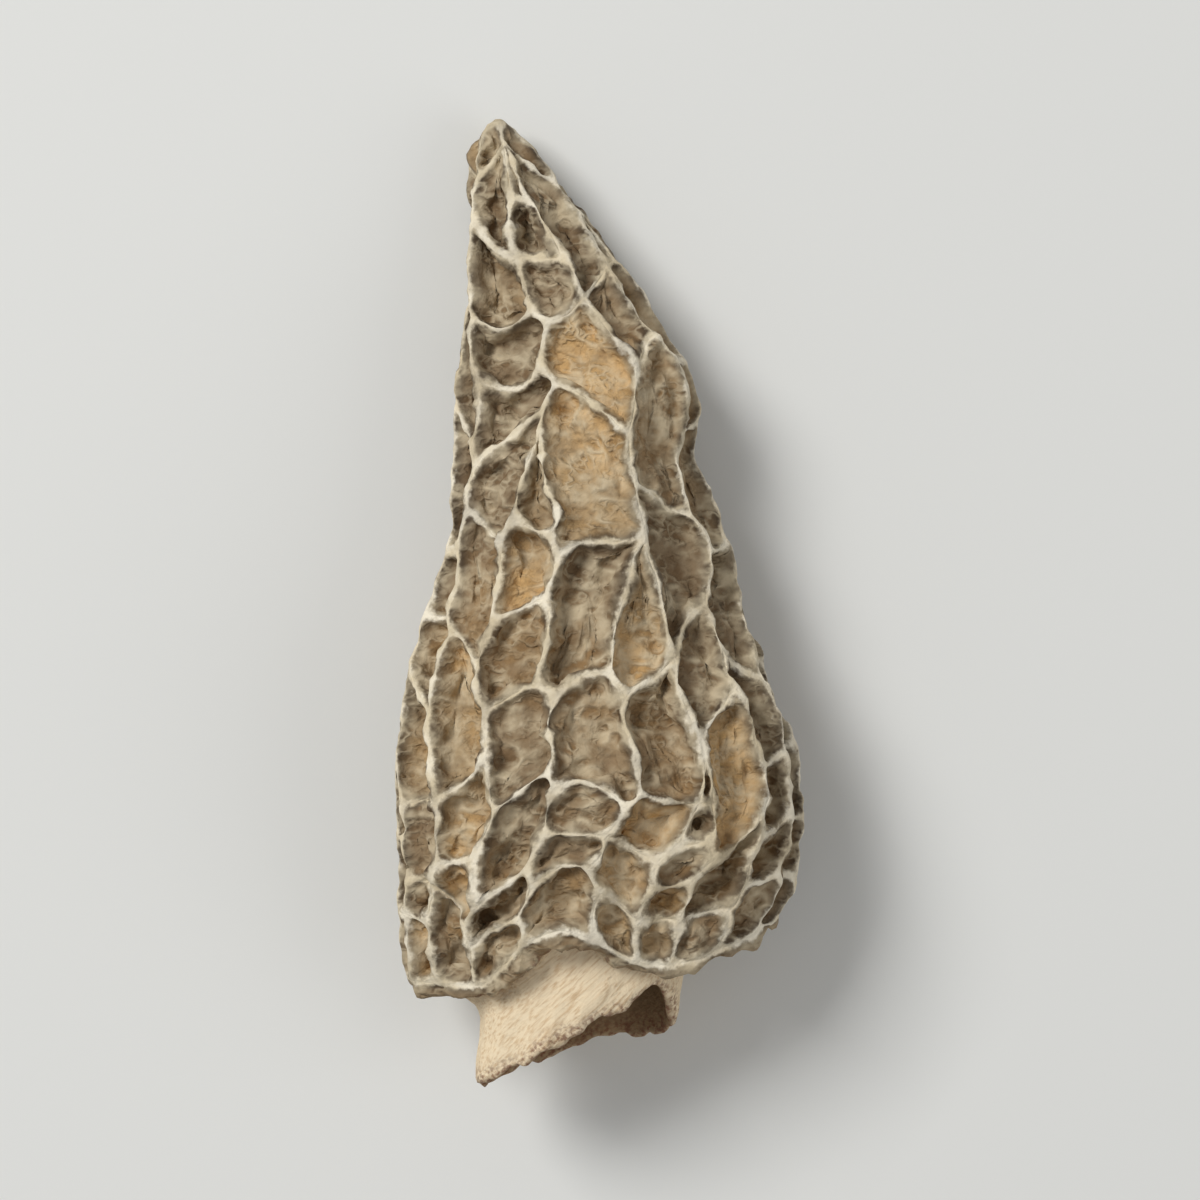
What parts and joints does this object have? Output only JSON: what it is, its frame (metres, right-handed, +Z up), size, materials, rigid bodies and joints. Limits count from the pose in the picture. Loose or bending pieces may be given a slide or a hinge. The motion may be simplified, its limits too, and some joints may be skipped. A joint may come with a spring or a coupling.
{
  "type": "dried morel mushroom",
  "caption": "Hollow, flattened dried morel lying on its side: long tapering cap with a raised net of ribs round deep pits, open torn stem stump.",
  "frame": {"origin": "centre of the bounding box, on the surface it lies on", "axes": "+Y along the mushroom towards its tip, +Z up from the side it lies on"},
  "size_m": [0.0246, 0.0588, 0.0155],
  "materials": {
    "flesh": "matte"
  },
  "bodies": {
    "root": {"morel": "flesh"}
  },
  "joints": []
}
